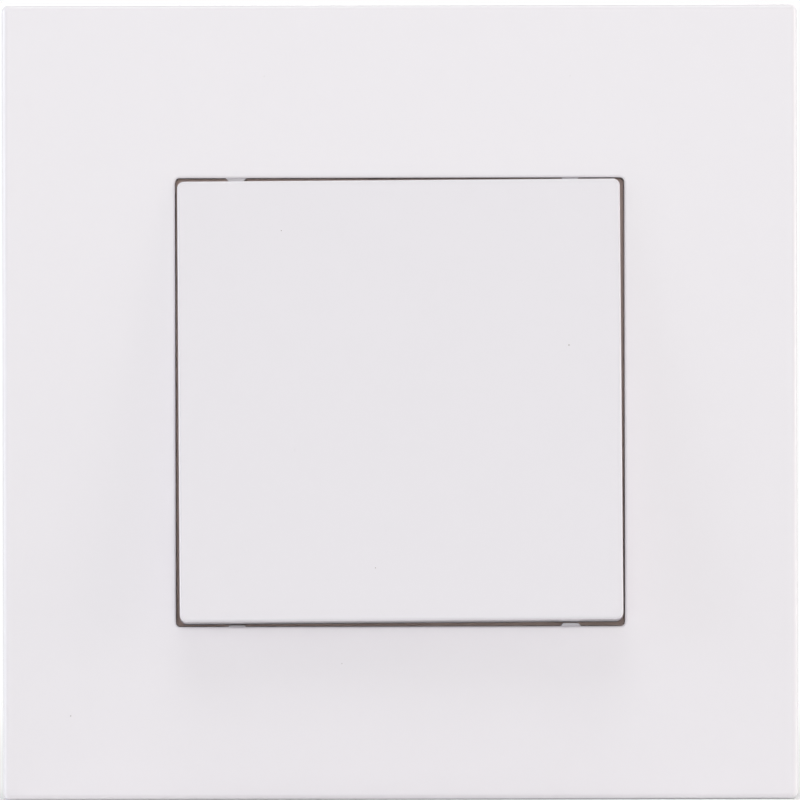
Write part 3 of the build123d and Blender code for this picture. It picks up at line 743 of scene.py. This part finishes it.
class SWITCH_OT_press_marks(Operator):
    """Leave the ejector pins' marks on the rear cover"""

    bl_idname = "light_switch.press_marks"
    bl_label = "Leave Ejector Marks"

    def execute(self, context):
        sizes = context.scene.switch_moulding
        plastic = frame["nodes"]["terminal_cover"].material_slots[0].material
        points = [(x * MILLIMETRE, COVER_FACE_Y, z * MILLIMETRE) for x, z in EJECTOR_PINS]
        marks = new_object("ejector_marks", points)
        grow(
            marks,
            mark_tree(),
            {
                "Radius": sizes.mark_radius,
                "Height": 2 * sizes.mark_height,
                "Material": plastic,
            },
        )
        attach(marks, "base")
        return {"FINISHED"}


class SWITCH_OT_drop_dust(Operator):
    """Put the few specks of dust on the plate and on the rocker"""

    bl_idname = "light_switch.drop_dust"
    bl_label = "Drop Dust"

    def execute(self, context):
        finish = context.scene.switch_finish
        dust = new_material("Dust", finish.dust, roughness=0.9)
        tree = dust_tree()
        plate = Vector((0, PLATE_FACE_Y, 0))
        rocker = ROCKER_AXIS - ROCKER_BACK * ROCKER_FACE_DEPTH
        across = Vector((1, 0, 0))
        faces = (
            ("plate_dust", "base", plate, Vector((0, 0, 1)), PLATE_DUST),
            ("rocker_dust", "rocker", rocker, ROCKER_UP, ROCKER_DUST),
        )
        for seed, (name, body, face, up, specks) in enumerate(faces, start=DUST_SEED):
            points = [face + (across * x + up * z) * MILLIMETRE for x, z, _ in specks]
            piece = new_object(name, points)
            radius = piece.data.attributes.new("size", "FLOAT", "POINT")
            radius.data.foreach_set("value", [size * MILLIMETRE / 2 for _, _, size in specks])
            grow(piece, tree, {"Seed": seed, "Material": dust})
            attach(piece, body)
        return {"FINISHED"}


class SWITCH_OT_build_studio(Operator):
    """Set the floor, the lamps, the white surround and the camera of the photograph"""

    bl_idname = "light_switch.build_studio"
    bl_label = "Build Studio"

    def execute(self, context):
        studio = context.scene.switch_studio
        add_floor()
        add_surround(context.scene, studio.surround)
        for name, place, size, power, colour in LAMPS:
            add_lamp(name, place, size, getattr(studio, power), colour)
        add_camera(context.scene, studio)
        context.scene.view_settings.view_transform = "Standard"
        return {"FINISHED"}


def floor_material():
    """Pale and shadowed near the switch, and as white as the surround further off."""
    material = new_material("Floor", FLOOR_COLOUR, roughness=0.9)
    nodes = material.node_tree.nodes
    links = material.node_tree.links
    place = nodes.new("ShaderNodeTexCoord")
    distance = nodes.new("ShaderNodeVectorMath")
    distance.operation = "LENGTH"
    fade = nodes.new("ShaderNodeMapRange")
    fade.interpolation_type = "SMOOTHSTEP"
    fade.inputs["From Min"].default_value = FADE_START
    fade.inputs["From Max"].default_value = FADE_END
    rays = nodes.new("ShaderNodeLightPath")
    seen = nodes.new("ShaderNodeMath")
    seen.operation = "MULTIPLY"
    white = nodes.new("ShaderNodeEmission")
    mix = nodes.new("ShaderNodeMixShader")
    links.new(place.outputs["Object"], distance.inputs[0])
    links.new(distance.outputs["Value"], fade.inputs["Value"])
    links.new(fade.outputs["Result"], seen.inputs[0])
    links.new(rays.outputs["Is Camera Ray"], seen.inputs[1])
    links.new(seen.outputs["Value"], mix.inputs["Fac"])
    links.new(nodes["Principled BSDF"].outputs["BSDF"], mix.inputs[1])
    links.new(white.outputs["Emission"], mix.inputs[2])
    links.new(mix.outputs["Shader"], nodes["Material Output"].inputs["Surface"])
    return material


def add_floor():
    """A pale floor that the plate's lower edge stands on."""
    ground = frame_box[0].z
    signs = ((-1, -1), (1, -1), (1, 1), (-1, 1))
    corners = [(x * FLOOR_HALF, y * FLOOR_HALF, ground) for x, y in signs]
    mesh = bpy.data.meshes.new("floor")
    mesh.from_pydata(corners, [], [range(len(corners))])
    mesh.materials.append(floor_material())
    floor = bpy.data.objects.new("floor", mesh)
    bpy.context.scene.collection.objects.link(floor)


def add_surround(scene, level):
    """A world that lights at this level, and looks white to the camera and in reflections."""
    world = bpy.data.worlds.new("Surround")
    world.use_nodes = True
    scene.world = world
    nodes = world.node_tree.nodes
    links = world.node_tree.links
    nodes.clear()
    rays = nodes.new("ShaderNodeLightPath")
    seen = nodes.new("ShaderNodeMath")
    seen.operation = "MAXIMUM"
    either = nodes.new("ShaderNodeMath")
    either.operation = "MAXIMUM"
    light = nodes.new("ShaderNodeBackground")
    light.inputs["Strength"].default_value = level
    white = nodes.new("ShaderNodeBackground")
    white.inputs["Strength"].default_value = 1
    mix = nodes.new("ShaderNodeMixShader")
    out = nodes.new("ShaderNodeOutputWorld")
    for background in (light, white):
        background.inputs["Color"].default_value = (1, 1, 1, 1)
    links.new(rays.outputs["Is Camera Ray"], seen.inputs[0])
    links.new(rays.outputs["Is Glossy Ray"], seen.inputs[1])
    links.new(seen.outputs["Value"], either.inputs[0])
    links.new(rays.outputs["Is Transmission Ray"], either.inputs[1])
    links.new(either.outputs["Value"], mix.inputs["Fac"])
    links.new(light.outputs["Background"], mix.inputs[1])
    links.new(white.outputs["Background"], mix.inputs[2])
    links.new(mix.outputs["Shader"], out.inputs["Surface"])


def add_lamp(name, place, size, power, colour):
    """A square lamp that faces the switch."""
    data = bpy.data.lights.new(name, "AREA")
    data.size = size
    data.energy = power
    data.color = colour
    lamp = bpy.data.objects.new(name, data)
    lamp.location = place
    lamp.rotation_euler = (-Vector(place)).to_track_quat("-Z", "Y").to_euler()
    bpy.context.scene.collection.objects.link(lamp)


def add_camera(scene, studio):
    """A camera square to the plate, a picture's width at the plate's face."""
    data = bpy.data.cameras.new("Camera")
    data.sensor_width = 36
    data.lens = data.sensor_width * (studio.distance + PLATE_FACE_Y) / studio.field
    data.clip_end = 20
    camera = bpy.data.objects.new("Camera", data)
    camera.location = (0, -studio.distance, studio.rise)
    camera.rotation_euler = (pi / 2, studio.roll, 0)
    scene.collection.objects.link(camera)
    scene.camera = camera


class SWITCH_PT_sidebar(Panel):
    """The switch's sizes, colours and steps"""

    bl_idname = "SWITCH_PT_sidebar"
    bl_label = "Light Switch"
    bl_space_type = "VIEW_3D"
    bl_region_type = "UI"
    bl_category = "Light Switch"

    def draw(self, context):
        for group in SETTINGS:
            settings = getattr(context.scene, group)
            box = self.layout.box()
            for name in settings.__annotations__:
                box.prop(settings, name)
        for step in STEPS:
            self.layout.operator(step.bl_idname)


STEPS = (
    SWITCH_OT_finish_front,
    SWITCH_OT_finish_mechanism,
    SWITCH_OT_finish_housing,
    SWITCH_OT_finish_metal,
    SWITCH_OT_wind_spring,
    SWITCH_OT_bend_leaves,
    SWITCH_OT_mould_ribs,
    SWITCH_OT_press_marks,
    SWITCH_OT_drop_dust,
    SWITCH_OT_build_studio,
)
SETTINGS = {
    "switch_finish": FinishSettings,
    "switch_springs": SpringSettings,
    "switch_moulding": MouldingSettings,
    "switch_studio": StudioSettings,
}


def register():
    """Adds the settings, the steps and the panel to Blender."""
    for settings in SETTINGS.values():
        bpy.utils.register_class(settings)
    for step in STEPS:
        bpy.utils.register_class(step)
    bpy.utils.register_class(SWITCH_PT_sidebar)
    for name, settings in SETTINGS.items():
        setattr(bpy.types.Scene, name, PointerProperty(type=settings))


def unregister():
    """Takes the panel, the steps and the settings out again."""
    for name in SETTINGS:
        delattr(bpy.types.Scene, name)
    bpy.utils.unregister_class(SWITCH_PT_sidebar)
    for step in reversed(STEPS):
        bpy.utils.unregister_class(step)
    for settings in reversed(SETTINGS.values()):
        bpy.utils.unregister_class(settings)


def main():
    """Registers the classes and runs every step."""
    register()
    bpy.ops.light_switch.finish_front()
    bpy.ops.light_switch.finish_mechanism()
    bpy.ops.light_switch.finish_housing()
    bpy.ops.light_switch.finish_metal()
    bpy.ops.light_switch.wind_spring()
    bpy.ops.light_switch.bend_leaves()
    bpy.ops.light_switch.mould_ribs()
    bpy.ops.light_switch.press_marks()
    bpy.ops.light_switch.drop_dust()
    bpy.ops.light_switch.build_studio()


if __name__ == "__main__":
    main()
